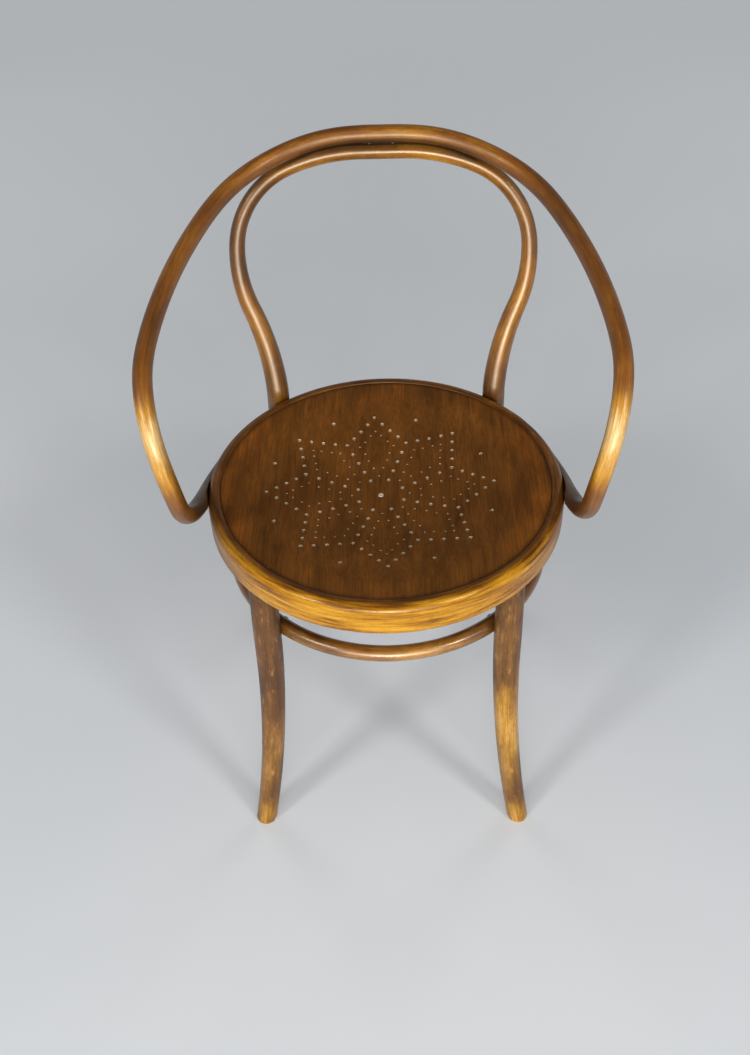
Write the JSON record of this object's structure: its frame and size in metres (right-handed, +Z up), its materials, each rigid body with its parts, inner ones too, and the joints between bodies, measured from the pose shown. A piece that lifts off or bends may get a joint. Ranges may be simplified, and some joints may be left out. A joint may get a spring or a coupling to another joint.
{
  "type": "bentwood armchair",
  "caption": "Bentwood desk armchair with a round dished seat pierced by a star of holes, a hoop back that runs into the rear legs, a continuous arm rail and a leg hoop.",
  "frame": {"origin": "on the floor below the middle of the chair's length and width", "axes": "+Z up, the chair faces -Y, +X to the viewer's right when the front is seen"},
  "size_m": [0.5106, 0.48, 0.7781],
  "materials": {
    "seat_frame_wood": "stained and French-polished, worn",
    "panel_ply": "stained and French-polished, worn",
    "back_wood": "stained and French-polished, worn",
    "arm_wood": "stained and French-polished, worn",
    "leg_wood": "stained and French-polished, worn",
    "hoop_wood": "stained and French-polished, worn",
    "bolt_steel": "darkened with age",
    "screw_steel": "darkened with age"
  },
  "bodies": {
    "root": {"seat_frame": "seat_frame_wood", "seat_panel": "panel_ply", "back_hoop": "back_wood", "arm_rail": "arm_wood", "front_leg_right": "leg_wood", "front_leg_left": "leg_wood", "leg_hoop": "hoop_wood", "back_bolts": "bolt_steel", "back_nuts": "bolt_steel", "leg_hoop_screws": "screw_steel", "arm_end_screws": "screw_steel", "lap_screws": "screw_steel"}
  },
  "joints": []
}
